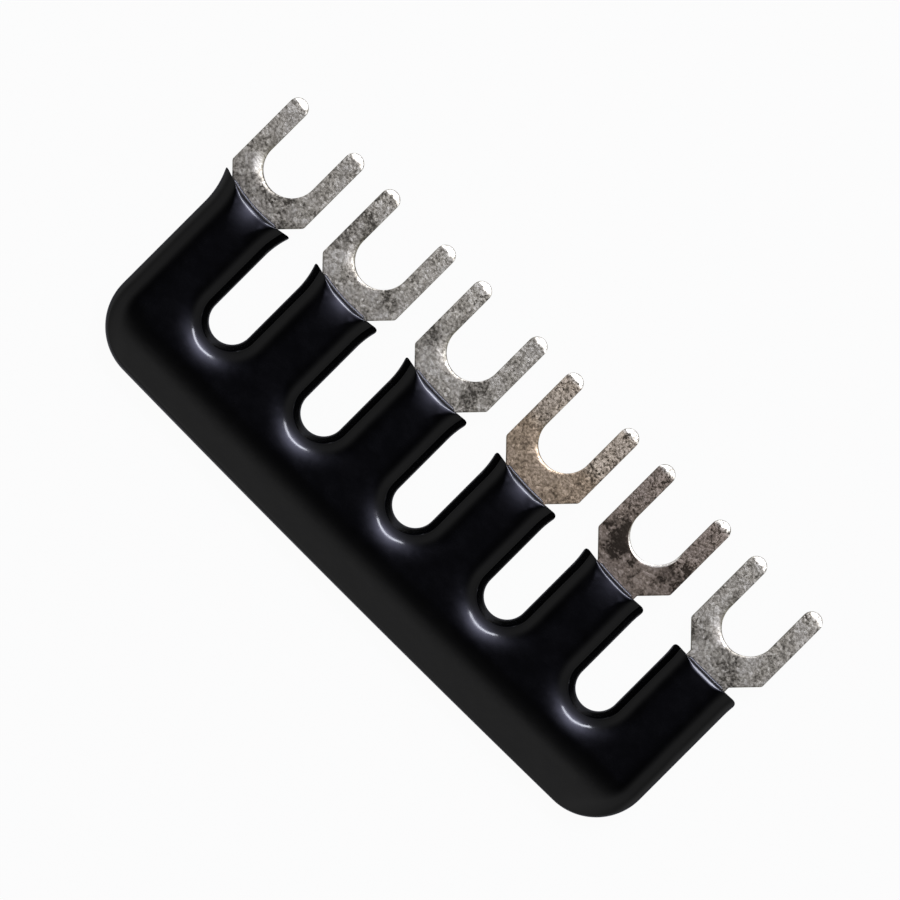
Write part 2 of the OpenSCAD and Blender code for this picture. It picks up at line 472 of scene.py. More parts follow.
class Shell:
    """Vertices and faces of one mesh; points are given in plan, with heights from the sheet's middle."""

    def __init__(self):
        self.verts = []
        self.faces = []

    def add(self, points, heights):
        first = len(self.verts)
        for (x, y), z in zip(points, heights):
            self.verts.append((x * MM, y * MM, (mid_z + z) * MM))
        return list(range(first, len(self.verts)))

    def sheet(self, ids, faces, up):
        for a, b, c in faces:
            self.faces.append((ids[a], ids[b], ids[c]) if up else (ids[c], ids[b], ids[a]))

    def wall(self, top, bottom, skip=()):
        """Faces between two loops, apart from those that start at a skipped place."""
        count = len(top)
        for i in range(count):
            if i in skip:
                continue
            j = (i + 1) % count
            ring = [bottom[i], bottom[j], top[j], top[i]]
            face = [v for k, v in enumerate(ring) if v not in ring[:k]]
            if len(face) > 2:
                self.faces.append(tuple(face))

    def build(self, name, material):
        """Object made of the vertices that a face uses."""
        used = sorted({v for face in self.faces for v in face})
        place = {v: k for k, v in enumerate(used)}
        faces = [[place[v] for v in face] for face in self.faces]
        mesh = bpy.data.meshes.new(name)
        mesh.from_pydata([self.verts[v] for v in used], [], faces)
        mesh.validate()
        mesh.shade_smooth()
        mesh.materials.append(material)
        piece = bpy.data.objects.new(name, mesh)
        bpy.context.collection.objects.link(piece)
        return piece


# Comb

def neck_gap(i, grow, step):
    """The round end of the gap between two necks, from its right side to its left."""
    return arc((slot_xs[i], slot_y), neck_gap_r - grow, 0, -180, step)


def neck_feet(i):
    """Y at which the right and the left side of a neck start."""
    corner_y = bar_y + BAR_CORNER_R
    return slot_y if i < last else corner_y, slot_y if i > 0 else corner_y


def bar_back(grow, step):
    """Bar from its left corner, along its back edge, to its right corner."""
    end = bar_half + grow
    radius = BAR_CORNER_R + grow
    straight = end - radius
    low = bar_y - grow
    return np.concatenate([
        arc((-straight, low + radius), radius, 180, 270, step),
        line((-straight, low), (straight, low), STRAIGHT_STEP * step),
        arc((straight, low + radius), radius, -90, 0, step),
    ])


def fork_outline(i, step):
    """One fork from the right side of its neck round to the left side, where its shoulder starts lower."""
    x = fork_xs[i]
    drop = LEFT_SHOULDER_DROPS[i]
    tip_base = tip_y - prong_r
    right = x + fork_half
    left = x - fork_half
    right_side = round_joint(
        line((x + neck_half, neck_top), (right, shoulder_y), step),
        line((right, shoulder_y), (right, tip_base), step),
        SHOULDER_ROUND,
    )
    left_side = round_joint(
        line((left, tip_base), (left, shoulder_y - drop), step),
        line((left, shoulder_y - drop), (x - neck_half, neck_top - drop), step),
        SHOULDER_ROUND,
    )
    return np.concatenate([
        right_side,
        arc((right - prong_r, tip_base), prong_r, 0, 180, step),
        line((x + throat_r, tip_base), (x + throat_r, throat_y), step),
        arc((x, throat_y), throat_r, 0, -180, step),
        line((x - throat_r, throat_y), (x - throat_r, tip_base), step),
        arc((left + prong_r, tip_base), prong_r, 0, 180, step),
        left_side,
    ])


def comb_loop(step):
    """Outline of the comb in plan, anticlockwise from the left corner of its bar."""
    pieces = [bar_back(0, step)]
    for i in range(last, -1, -1):
        right = fork_xs[i] + neck_half
        left = fork_xs[i] - neck_half
        right_y, left_y = neck_feet(i)
        left_top = neck_top - LEFT_SHOULDER_DROPS[i]
        pieces.append(line((right, right_y), (right, neck_top), STRAIGHT_STEP * step))
        pieces.append(fork_outline(i, step))
        pieces.append(line((left, left_top), (left, left_y), STRAIGHT_STEP * step))
        if i > 0:
            pieces.append(neck_gap(i - 1, 0, step))
    return np.concatenate(pieces)


def bevel_drop(past, slope):
    """How much a bevel takes off at a distance past its crease."""
    return slope * CREASE * np.logaddexp(0, past / CREASE)


def tip_drop(points):
    """How much the bevel on the prong tips takes off the half thickness; its crease wanders a little."""
    x, y = points.T
    wander = sum(height * np.sin(rate * x + start) for height, rate, start in TIP_WAVES)
    off = x - np.array(fork_xs)[nearest(x, fork_xs)]
    across = off - np.sign(off) * (fork_half - prong_r)
    return bevel_drop(y - (tip_y - TIP_LEN + wander) + TIP_LEAN * across, TIP_SLOPE)


def throat_side(points, turn, spread):
    """Share of one side of the throats in the direction of each point, and its distance from their edge."""
    index = nearest(points[:, 0], fork_xs)
    away_x = points[:, 0] - np.array(fork_xs)[index]
    away_y = points[:, 1] - throat_y
    off = np.degrees(np.arctan2(away_y, away_x)) % 360 - turn
    share = 1 - smoothstep(np.abs(off), SPREAD_CORE * spread, spread)
    return share, np.hypot(away_x, away_y) - throat_r


def throat_drop(points):
    """How much the bevel and the wide rolled edge on the lower left of the throats take off."""
    side, gap = throat_side(points, THROAT_BEVEL_TURN, THROAT_BEVEL_SPREAD)
    bevel = bevel_drop(THROAT_BEVEL_W - gap, THROAT_BEVEL_SLOPE)
    roll_side, gap = throat_side(points, WIDE_ROLL_TURN, WIDE_ROLL_SPREAD)
    share = np.array(WIDE_ROLL_SHARES)[nearest(points[:, 0], fork_xs)] * roll_side
    return bevel * side + WIDE_ROLL_DROP * share * np.clip(1 - gap / WIDE_ROLL_W, 0, 1) ** ROLL_POWER


def roll_drop(points, gap):
    """How much the rolled edge takes off at a distance from the outline."""
    start, end = BEVEL_ROLL_BAND
    tip = smoothstep(points[:, 1], tip_y - TIP_LEN + start, tip_y - TIP_LEN + end)
    side, throat_gap = throat_side(points, THROAT_BEVEL_TURN, THROAT_BEVEL_SPREAD)
    share = np.maximum(tip, side * (throat_gap < THROAT_BEVEL_W))
    width = ROLL_W + (BEVEL_ROLL_W - ROLL_W) * share
    drop = ROLL_DROP + (BEVEL_ROLL_DROP - ROLL_DROP) * share
    return drop * np.clip(1 - gap / width, 0, 1) ** ROLL_POWER


def comb_points(loop):
    """Points of the comb's mesh in plan: its outline, rings inside it, and grids."""
    normals = inward(loop)
    groups = [(loop, COMB_APART)]
    for depth in ROLL_RINGS:
        groups.append((loop + normals * depth, ROLL_RING_APART))
    side, gap = throat_side(loop, WIDE_ROLL_TURN, 2 * WIDE_ROLL_SPREAD)
    at_throat = (side > 0) & (gap < ROLL_W)
    for depth in THROAT_RINGS:
        groups.append((loop[at_throat] + normals[at_throat] * depth, THROAT_RING_APART))
    reach = bar_half + FORK_GRID_MARGIN
    tips_y = tip_y - TIP_LEN - TIP_GRID_MARGIN
    for low, high, (step, apart) in (
        ((-reach, tips_y), (reach, tip_y), TIP_GRID),
        ((-reach, neck_top), (reach, tip_y), FORK_GRID),
        ((-bar_half, bar_y), (bar_half, neck_top), BAR_GRID),
    ):
        inner = grid(low, high, step)
        groups.append((inner[outline_gap(inner, loop) > ROLL_W], apart))
    return spaced(groups)


def make_comb(material):
    loop = comb_loop(COMB_STEP)
    count = len(loop)
    points = comb_points(loop)
    faces = triangles(points, count)
    gap = outline_gap(points, loop)
    gap[:count] = 0
    heights = sheet_half - tip_drop(points) - throat_drop(points) - roll_drop(points, gap)
    shell = Shell()
    top = shell.add(points, heights)
    bottom = shell.add(points, -heights)
    shell.sheet(top, faces, True)
    shell.sheet(bottom, faces, False)
    shell.wall(top[:count], bottom[:count])
    piece = shell.build("stamped_comb", material)
    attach(piece, "root")
    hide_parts("fork_comb")


# Plan of the coat

def rim_line(i, across):
    """Y of the lip's wall and the wall's slope in plan, at a distance across its tooth."""
    half = neck_half + COAT_WALL
    sag = RIM_SAGS[i]
    tilt = math.tan(math.radians(RIM_TILTS[i]))
    wall_y = neck_top + RIMS[i] + sag * (across / half) ** 2 - tilt * across
    return wall_y, 2 * sag * across / half ** 2 - tilt


def mouth_half(i, side):
    """Half width of the opening round the comb at a rim, where the shoulders may have begun."""
    width = neck_half + CLEARANCE
    start_y = neck_top if side > 0 else neck_top - LEFT_SHOULDER_DROPS[i]
    passes = 20
    for _ in range(passes):
        above = max(0, rim_line(i, side * width)[0] - start_y)
        width = neck_half + CLEARANCE + above / math.tan(math.radians(SHOULDER_ANGLE))
    return width


mouths = [(mouth_half(i, -1), mouth_half(i, 1)) for i in range(last + 1)]


def foot_length(i, across):
    """How far the thin foot of the lip runs out over the metal."""
    left, right = mouths[i]
    room = np.where(across > 0, right - across, left + across)
    return FOOT_LEN * smoothstep(room, *FOOT_ENDS)


def bow(x):
    """How far the back edge lies in front of its lowest point."""
    return BACK_BOW * np.clip((x - COAT_SHIFT) / coat_straight, -1, 1) ** 2


def flare_end(centre_x, start_y, i, turn):
    """Angle on a flare's circle at which it meets the rim of tooth i; turn is 1 or -1."""
    low = 0.0
    high = 45.0
    halvings = 40
    for _ in range(halvings):
        mid = (low + high) / 2
        x = centre_x + turn * FLARE_R * math.cos(math.radians(mid))
        y = start_y + FLARE_R * math.sin(math.radians(mid))
        if y < rim_line(i, x - fork_xs[i])[0]:
            low = mid
        else:
            high = mid
    return low


def rim_points(i, start_x, end_x, step):
    """Rim from its right ear to its left, with the ends of the opening among its points."""
    left, right = mouths[i]
    stops = [start_x, fork_xs[i] + right, fork_xs[i] - left, end_x]
    xs = np.concatenate([line((a, 0), (b, 0), step)[:, 0] for a, b in zip(stops, stops[1:])])
    across = xs - fork_xs[i]
    return np.stack([xs, rim_line(i, across)[0] + foot_length(i, across)], 1)


def tooth_front(i, step):
    """Right flare, rim and left flare of one tooth, with its two ears rounded."""
    right_x = coat_right + FLARE_R if i == last else slot_xs[i] - (slot_r - FLARE_R)
    left_x = coat_left - FLARE_R if i == 0 else slot_xs[i - 1] + (slot_r - FLARE_R)
    left_y = left_flare_y if i == 0 else flare_y
    right_end = flare_end(right_x, flare_y, i, -1)
    left_end = flare_end(left_x, left_y, i, 1)
    right_flare = arc((right_x, flare_y), FLARE_R, 180, 180 - right_end, step)
    left_flare = arc((left_x, left_y), FLARE_R, left_end, 0, step)
    ear = right_x - FLARE_R * math.cos(math.radians(right_end))
    rim = rim_points(i, ear, left_flare[0][0], RIM_STEP * step)
    front = round_joint(right_flare, rim, RIGHT_EAR_ROUNDS[i])
    return round_joint(front, left_flare, LEFT_EAR_ROUNDS[i])


def coat_loop(step):
    """Outline of the coat in plan, anticlockwise from the left end of its back."""
    left_bend = COAT_SHIFT - coat_straight
    right_bend = COAT_SHIFT + coat_straight
    back = line((left_bend, back_y), (right_bend, back_y), STRAIGHT_STEP * step)
    back[:, 1] += bow(back[:, 0])
    pieces = [
        back,
        arc((right_bend, coat_corner_y), coat_corner_r, -90, 0, step),
        line((coat_right, coat_corner_y), (coat_right, flare_y), SIDE_STEP * step),
    ]
    for i in range(last, -1, -1):
        pieces.append(tooth_front(i, step))
        if i > 0:
            x = slot_xs[i - 1]
            pieces.append(line((x + slot_r, flare_y), (x + slot_r, slot_y), SIDE_STEP * step))
            pieces.append(arc((x, slot_y), slot_r, 0, -180, step))
            pieces.append(line((x - slot_r, slot_y), (x - slot_r, flare_y), SIDE_STEP * step))
    pieces.append(line((coat_left, left_flare_y), (coat_left, coat_corner_y), SIDE_STEP * step))
    pieces.append(arc((left_bend, coat_corner_y), coat_corner_r, 180, 270, step))
    return np.concatenate(pieces)


def in_opening(points):
    """Whether each outline point lies on a rim, over the comb."""
    index = nearest(points[:, 0], fork_xs)
    across = points[:, 0] - np.array(fork_xs)[index]
    left = np.array([m[0] for m in mouths])[index] + TINY_LENGTH
    right = np.array([m[1] for m in mouths])[index] + TINY_LENGTH
    return (points[:, 1] > flare_y) & (across < right) & (across > -left)


def room_loop(rims, step):
    """Plan of the room for the comb inside the coat, closed at the rims."""
    half = neck_half + CLEARANCE
    pieces = [bar_back(CLEARANCE, step)]
    for i in range(last, -1, -1):
        right = fork_xs[i] + half
        left = fork_xs[i] - half
        right_y, left_y = neck_feet(i)
        rim = rims[i]
        left_top = neck_top - LEFT_SHOULDER_DROPS[i]
        right_knee = (right, min(neck_top, rim[0][1] - KNEE_DROP))
        left_knee = (left, min(left_top, rim[-1][1] - KNEE_DROP))
        pieces.append(line((right, right_y), right_knee, ROOM_SIDE_STEP * step))
        pieces.append(line(right_knee, rim[0], step))
        pieces.append(rim[:-1])
        pieces.append(line(rim[-1], left_knee, step))
        pieces.append(line(left_knee, (left, left_y), ROOM_SIDE_STEP * step))
        if i > 0:
            pieces.append(neck_gap(i - 1, CLEARANCE, step))
    return np.concatenate(pieces)


# Heights of the coat

def side_gap(x, y):
    """Distance inside the coat's outer sides and back, with the share of back in its direction."""
    across = np.abs(x - COAT_SHIFT)
    beside = across - coat_straight
    below = back_y + bow(x) + coat_corner_r - y
    corner = np.hypot(np.maximum(beside, 0), np.maximum(below, 0))
    box = coat_corner_r - corner - np.minimum(np.maximum(beside, below), 0)
    start_y = np.where(x < 0, left_flare_y, flare_y)
    flare = np.hypot(across - (coat_end + FLARE_R), y - start_y) - FLARE_R
    corner_share = below ** 2 / np.maximum(beside ** 2 + below ** 2, TINY_AREA)
    share = np.where((beside > 0) & (below > 0), corner_share, np.where(below > beside, 1.0, 0.0))
    return np.where(y > start_y, flare, box), share


def slot_gap(x, y):
    """Distance from the nearest slot, with the share of its end in the direction."""
    across = np.abs(x - np.array(slot_xs)[nearest(x, slot_xs)])
    below = slot_y - y
    end = np.hypot(across, below) - slot_r
    flare = np.hypot(across - (slot_r - FLARE_R), y - flare_y) - FLARE_R
    share = np.where(below > 0, below ** 2 / np.maximum(across ** 2 + below ** 2, TINY_AREA), 0.0)
    return np.where(below > 0, end, np.where(y < flare_y, across - slot_r, flare)), share


def edge_gap(points):
    """Distance inside the coat's sides, its back and its slots."""
    return np.minimum(side_gap(*points.T)[0], slot_gap(*points.T)[0])


def fall(distance, slope, reach, power):
    """Drop that starts with a slope at a distance of 0 and dies away over its reach."""
    return slope * reach / power * (1 - np.clip(distance, 0, reach) / reach) ** power


def quarter_drop(distance, radius):
    """How far a quarter round lies under its top, from its upright end at a distance of 0."""
    return radius - np.sqrt(radius ** 2 - (radius - np.clip(distance, 0, radius)) ** 2)


def soft_min(a, b, width):
    t = np.clip(0.5 + 0.5 * (b - a) / width, 0, 1)
    return b + (a - b) * t - width * t * (1 - t)


def lip_height(x, y):
    """Half height that the lips leave to the coat, and the distance in from the lip's wall."""
    index = nearest(x, fork_xs)
    height = np.empty_like(x)
    inside = np.empty_like(x)
    for i in range(last + 1):
        at = index == i
        across = x[at] - fork_xs[i]
        wall_y, slope = rim_line(i, across)
        depth = (wall_y - y[at]) / np.sqrt(1 + slope ** 2)
        foot = foot_length(i, across)
        fillet = np.minimum(FILLET_R, foot)
        toe = TOE_SLOPE * np.maximum(depth + foot, 0) + quarter_drop(FILLET_CUT * fillet - depth, fillet)
        faded = smoothstep(np.abs(across), *SWELL_FADE)
        swell = fall(depth, SWELL_SLOPES[i] * (1 - faded), SWELL_REACHES[i], SWELL_POWER)
        steepness = LIP_SLOPES[i] + LIP_GAIN * SWELL_SLOPES[i] * faded
        lip = fall(depth, steepness, LIP_REACHES[i], LIP_POWERS[i])
        crest = quarter_drop(CREST_CUT * CREST_R + np.maximum(depth, 0), CREST_R)
        height[at] = np.where(depth < 0, room_half + toe, coat_half - swell - lip - crest)
        inside[at] = depth
    return height, inside


def edge_drop(gap, reach, bend, curve):
    """How far a round edge lies under the flat face; it ends in a flatter bend and a small round."""
    bent = np.maximum(gap, bend)
    share = np.clip(1 - bent / reach, 0, 1)
    curl = share ** EDGE_POWER
    root = np.sqrt(1 - curl ** 2)
    slope = coat_half * curl / root * EDGE_POWER / reach * share ** (EDGE_POWER - 1)
    rest = bent - gap
    return coat_half * (1 - root) + slope * rest + curve / 2 * rest ** 2 + quarter_drop(gap, EDGE_R)


def slot_roll(gap):
    """Extra drop of the coat's edge round a slot, which goes on straight past the bend."""
    reach, curl = SLOT_ROLL
    bent = np.clip(gap, SLOT_BEND[0], reach)
    return curl * (reach - bent) ** 2 + 2 * curl * (reach - bent) * np.maximum(bent - gap, 0)


def wedge_drop(gap, x):
    """How far the back edge, a wedge with a blunt nose, lies under the flat face."""
    along = np.clip((x + coat_end) / (2 * coat_end), 0, 1)
    reach = WEDGE_REACH[0] + (WEDGE_REACH[1] - WEDGE_REACH[0]) * along
    wedge = coat_half - WEDGE_SLOPE * (reach - gap)
    curl = np.clip(1 - gap / NOSE_LEN, 0, 1)
    nose = NOSE_HALF * np.sqrt(1 - curl ** 2) + NOSE_RISE * np.maximum(gap - NOSE_LEN, 0)
    return coat_half - soft_min(soft_min(nose, wedge, NOSE_FADE), coat_half, WEDGE_FADE)


def coat_height(points):
    """Half height of the coat, from its edges and its lips."""
    x, y = points.T
    outer, back = side_gap(x, y)
    slot, end = slot_gap(x, y)
    drop = edge_drop(outer, SIDE_REACH, *SIDE_BEND) * (1 - back) + wedge_drop(outer, x) * back
    drop += edge_drop(slot, SIDE_REACH + (END_REACH - SIDE_REACH) * end, *SLOT_BEND)
    drop += slot_roll(slot)
    lip, inside = lip_height(x, y)
    ear = np.array(EAR_FADES)[nearest(x, fork_xs)]
    fade = ear * (1 - smoothstep(inside, *EAR_DEPTHS)) + TINY_LENGTH
    return np.maximum(soft_min(coat_half - drop, lip, fade), 0)


# Coat

def lip_rows(step):
    """Plan points in rows along the lips, close together where the lips bend."""
    foot = -FOOT_LEN * np.array(FOOT_ROWS)
    crest = CREST_R * (1 - np.cos(np.radians(np.linspace(0, 90, CREST_ROWS))))
    swell = CREST_R * SWELL_ROW_GROWTH ** np.arange(1, SWELL_ROWS + 1)
    half = pitch / 2 - slot_r + ROW_MARGIN
    across = np.arange(-half, half, step)
    rows = []
    for depth in np.concatenate([foot, crest, swell]):
        for i in range(last + 1):
            wall_y, slope = rim_line(i, across)
            lean = np.sqrt(1 + slope ** 2)
            row = np.stack([fork_xs[i] + across + depth * slope / lean, wall_y - depth / lean], 1)
            on_foot = depth + foot_length(i, across) > ROW_FOOT_GAP
            rows.append(row[(edge_gap(row) > ROW_EDGE_GAP) & on_foot])
    return np.concatenate(rows)


def coat_points(loop):
    """Points of the coat's mesh in plan: outline, rows along the lips, rings inside the edges, and a grid."""
    normals = inward(loop)
    off_rim = lip_height(*loop.T)[1] >= RIM_GAP
    groups = [(loop, 0.0), (lip_rows(RIM_STEP * COAT_STEP), ROW_APART)]
    round_rings = EDGE_R * (1 - np.cos(np.radians(ROUND_TURNS)))
    wide_rings = EDGE_RINGS[-1] * WIDE_RING_GROWTH ** np.arange(1, WIDE_RINGS + 1)
    for depth in np.concatenate([round_rings, EDGE_RINGS, wide_rings]):
        ring = loop[off_rim] + normals[off_rim] * depth
        inside = lip_height(*ring.T)[1]
        groups.append((ring[inside > RING_LIP_GAP], min(RING_APART, RING_APART_SHARE * depth)))
    step, apart = COAT_GRID
    inner = grid((-coat_end, back_y), (coat_end, flare_y + COAT_GRID_TOP), step)
    on_face = (edge_gap(inner) > FACE_EDGE_GAP) & (lip_height(*inner.T)[1] > FACE_LIP_GAP)
    groups.append((inner[on_face], apart))
    return spaced(groups)


def add_room(shell, loop, open_at, top, bottom):
    """Adds the room for the comb, joined to the top and bottom points of the outline at the rims."""
    digits = 6
    index = nearest(loop[:, 0], fork_xs)
    rim_ids = [np.flatnonzero(open_at & (index == i)) for i in range(last + 1)]
    room = room_loop([loop[ids] for ids in rim_ids], ROOM_STEP)
    faces = triangles(room, len(room))
    ceiling = shell.add(room, np.full(len(room), room_half))
    floor = shell.add(room, np.full(len(room), -room_half))
    place = {tuple(np.round(p, digits)): k for k, p in enumerate(room)}
    closed = set()
    for ids in rim_ids:
        spots = [place[tuple(np.round(loop[k], digits))] for k in ids]
        closed.update(spots[:-1])
        for spot, k in zip(spots, ids):
            ceiling[spot] = top[k]
            floor[spot] = bottom[k]
    shell.sheet(ceiling, faces, False)
    shell.sheet(floor, faces, True)
    shell.wall(floor, ceiling, closed)


def make_coat(material):
    loop = coat_loop(COAT_STEP)
    count = len(loop)
    open_at = in_opening(loop)
    points = coat_points(loop)
    faces = triangles(points, count)
    heights = coat_height(points)
    heights[:count][open_at] = room_half
    shell = Shell()
    top = shell.add(points, heights)
    bottom = shell.add(points, -heights)
    for i in range(count):
        if heights[i] < SHARP_HALF:
            bottom[i] = top[i]
    shell.sheet(top, faces, True)
    shell.sheet(bottom, faces, False)
    openings = {i for i in range(count) if open_at[i] and open_at[(i + 1) % count]}
    shell.wall(top[:count], bottom[:count], openings)
    add_room(shell, loop, open_at, top, bottom)
    piece = shell.build("dipped_coat", material)
    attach(piece, "root")
    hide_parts("insulating_sleeve")


# Materials

class NodeTree:
    """Short way to add and join the nodes of one material or world."""

    def __init__(self, base):
        self.nodes = base.nodes
        self.links = base.links
        self.nodes.clear()

    def add(self, kind, settings=None, **inputs):
        """New node; an input is named as its socket, or i0, i1 and so on after its number."""
        node = self.nodes.new(kind)
        for key, value in (settings or {}).items():
            setattr(node, key, value)
        for key, value in inputs.items():
            self.set(node, key, value)
        return node

    def set(self, node, key, value):
        socket = node.inputs[int(key[1:]) if key[0] == "i" and key[1:].isdigit() else key]
        if isinstance(value, bpy.types.NodeSocket):
            self.links.new(value, socket)
        else:
            socket.default_value = value

    def math(self, operation, a, b=0.0):
        return self.add("ShaderNodeMath", {"operation": operation}, i0=a, i1=b).outputs[0]

    def noise(self, coords, scale, detail):
        return self.add("ShaderNodeTexNoise", Vector=coords, Scale=scale, Detail=detail).outputs[0]

    def remap(self, value, from_min, from_max, to_min, to_max):
        """The value between two limits, moved smoothly to two other ones."""
        node = self.add("ShaderNodeMapRange", {"interpolation_type": "SMOOTHSTEP"}, Value=value)
        limits = {"From Min": from_min, "From Max": from_max, "To Min": to_min, "To Max": to_max}
        for key, limit in limits.items():
            self.set(node, key, limit)
        return node.outputs[0]

    def distance(self, coords, place):
        node = self.add("ShaderNodeVectorMath", {"operation": "DISTANCE"}, i0=coords, i1=place)
        return node.outputs["Value"]

    def ramp(self, value, colours):
        """Colour at a value from 0 to 1 on an even row of colours."""
        node = self.add("ShaderNodeValToRGB", Fac=value)
        stops = node.color_ramp.elements
        stops[0].color = colours[0]
        stops[1].color = colours[-1]
        for k in range(1, len(colours) - 1):
            stops.new(k / (len(colours) - 1)).color = colours[k]
        return node.outputs[0]

    def tint(self, share, colour, by):
        """A colour multiplied by another one, as far as the share says."""
        settings = {"data_type": "RGBA", "blend_type": "MULTIPLY"}
        node = self.add("ShaderNodeMix", settings, i0=share, i6=colour, i7=by)
        return node.outputs[2]

    def bump(self, height, strength, distance):
        return self.add("ShaderNodeBump", Height=height, Strength=strength, Distance=distance * MM)


def new_material(name):
    material = bpy.data.materials.new(name)
    material.use_nodes = True
    return material, NodeTree(material.node_tree)


def vinyl_material():
    material, tree = new_material("black_vinyl")
    coords = tree.add("ShaderNodeTexCoord").outputs["Object"]
    sway = tree.bump(tree.noise(coords, *SWAY_NOISE), *SWAY_BUMP)
    ripple = tree.bump(tree.noise(coords, *RIPPLE_NOISE), *RIPPLE_BUMP)
    tree.set(ripple, "Normal", sway.outputs[0])
    rough = tree.remap(tree.noise(coords, *GLOSS_NOISE), *NOISE_SPAN, *VINYL_ROUGHNESS)
    colour = tree.ramp(tree.noise(coords, *SHADE_NOISE), VINYL_COLOURS)
    shader = tree.add("ShaderNodeBsdfPrincipled", Roughness=rough, Normal=ripple.outputs[0])
    tree.set(shader, "Base Color", colour)
    tree.add("ShaderNodeOutputMaterial", Surface=shader.outputs[0])
    return material


def tip_band(tree, y, band, start, end):
    """Value that changes between two distances from the prong tips."""
    return tree.remap(y, (tip_y - band[0]) * MM, (tip_y - band[1]) * MM, start, end)


def near_x(tree, x, middle, reach):
    """Share that is 1 near an X and falls to 0 within its reach."""
    off = tree.math("ABSOLUTE", tree.math("SUBTRACT", x, middle * MM))
    return tree.remap(off, reach[0] * MM, reach[1] * MM, 1, 0)


def stained_and_highlit(tree, tone, coords, patch):
    """The tone less the stains and plus the painted highlights, whose edges the patches make ragged."""
    for fork, across, below, radius, depth in STAINS_AND_HIGHLIGHTS:
        middle = Vector((fork_xs[fork] + across, tip_y - below, mid_z + sheet_half)) * MM
        ragged = SPOT_RAGGED * radius * MM
        away = tree.distance(coords, middle)
        away = tree.math("ADD", away, tree.remap(patch, *NOISE_SPAN, -ragged, ragged))
        spot = tree.remap(away, SPOT_CORE * radius * MM, radius * MM, SPOT_TONE * depth, 0)
        tone = tree.math("SUBTRACT", tone, spot)
    return tone


def throat_highlight(tree, coords):
    """Share of a painted highlight in a thin crescent along the dark fork's throat."""
    turn = math.radians(THROAT_HIGHLIGHT_TURN)
    centre = Vector((fork_xs[DARK_FORK], throat_y, mid_z + sheet_half))
    centre += THROAT_HIGHLIGHT_SHIFT * Vector((math.cos(turn), math.sin(turn), 0))
    away = tree.distance(coords, centre * MM)
    return tree.remap(away, throat_r * MM, (throat_r + THROAT_HIGHLIGHT_FADE) * MM, 1, 0)


def tin_material():
    material, tree = new_material("tin_plate")
    coords = tree.add("ShaderNodeTexCoord").outputs["Object"]
    place = tree.add("ShaderNodeSeparateXYZ", Vector=coords)
    x = place.outputs["X"]
    y = place.outputs["Y"]
    grain = tree.noise(coords, *GRAIN_NOISE)
    fleck = tree.noise(coords, *FLECK_NOISE)
    patch = tree.noise(coords, *PATCH_NOISE)
    cells = tree.add("ShaderNodeTexVoronoi", Vector=coords, Scale=SPARK_SCALE).outputs["Color"]
    spark = tree.add("ShaderNodeSeparateXYZ", Vector=cells).outputs["X"]
    tarnish = near_x(tree, x, slot_xs[TARNISH_SLOT], TARNISH_REACH)
    dark = near_x(tree, x, fork_xs[DARK_FORK], DARK_REACH)
    prongs = tip_band(tree, y, PRONG_BAND, 0, 1)
    throat_line = throat_highlight(tree, coords)

    # More speckle on the tarnished prongs, which also strengthens their painted glints
    extra_speckle = tree.math("MULTIPLY", tree.math("MULTIPLY", tarnish, prongs), PRONG_SPECKLE)
    gain = tree.math("ADD", tip_band(tree, y, SPECKLE_BAND, 1.0, SPECKLE_GAIN), extra_speckle)
    flecks = tree.remap(fleck, *FLECK_SPAN, -FLECK_TONE, FLECK_TONE)
    # Painted glints: bright flecks in the tone for the sparkle of the plate's grain
    painted_glints = tree.remap(spark, *SPARK_SPAN, 0.0, PAINTED_GLINT_TONE)
    tone = tree.math("MULTIPLY", tree.math("ADD", flecks, painted_glints), gain)
    tone = tree.math("ADD", tone, tree.remap(patch, *NOISE_SPAN, -PATCH_TONE, PATCH_TONE))
    tone = tree.math("ADD", tone, tree.remap(grain, *NOISE_SPAN, *GRAIN_TONES))
    # Stains darken the tone; the rows with a depth below 0 are painted highlights
    tone = stained_and_highlit(tree, tone, coords, patch)
    # Painted highlight on the prong tips
    tone = tree.math("ADD", tone, tip_band(tree, y, TIP_HIGHLIGHT_BAND, 0, TIP_HIGHLIGHT_TONE))
    # Painted highlight along the dark fork's throat, at full tone and clear of the tints
    tone = tree.math("MAXIMUM", tone, throat_line)

    dull = tree.math("MULTIPLY", tip_band(tree, y, CLEAN_BAND, 1, 0), tree.math("SUBTRACT", 1.0, throat_line))
    pale = tree.math("MULTIPLY", prongs, PRONG_TINT_LOSS)
    pale = tree.math("MULTIPLY", pale, tree.math("SUBTRACT", 1.0, dark))
    warm = tree.math("MULTIPLY", dull, tree.math("SUBTRACT", 1.0, pale))
    warm = tree.math("MULTIPLY", warm, tarnish)
    colour = tree.tint(warm, tree.ramp(tone, PLATE_COLOURS), TARNISH_TINT)
    colour = tree.tint(tree.math("MULTIPLY", dull, dark), colour, DARK_TINT)

    coarse = tree.bump(grain, *GRAIN_BUMP)
    fine = tree.bump(fleck, *FLECK_BUMP)
    tree.set(fine, "Normal", coarse.outputs[0])
    rough = tree.remap(patch, *NOISE_SPAN, *PLATE_ROUGHNESS)
    shader = tree.add("ShaderNodeBsdfPrincipled", Metallic=1.0, Roughness=rough, Normal=fine.outputs[0])
    tree.set(shader, "Base Color", colour)
    tree.add("ShaderNodeOutputMaterial", Surface=shader.outputs[0])
    return material


# Stage

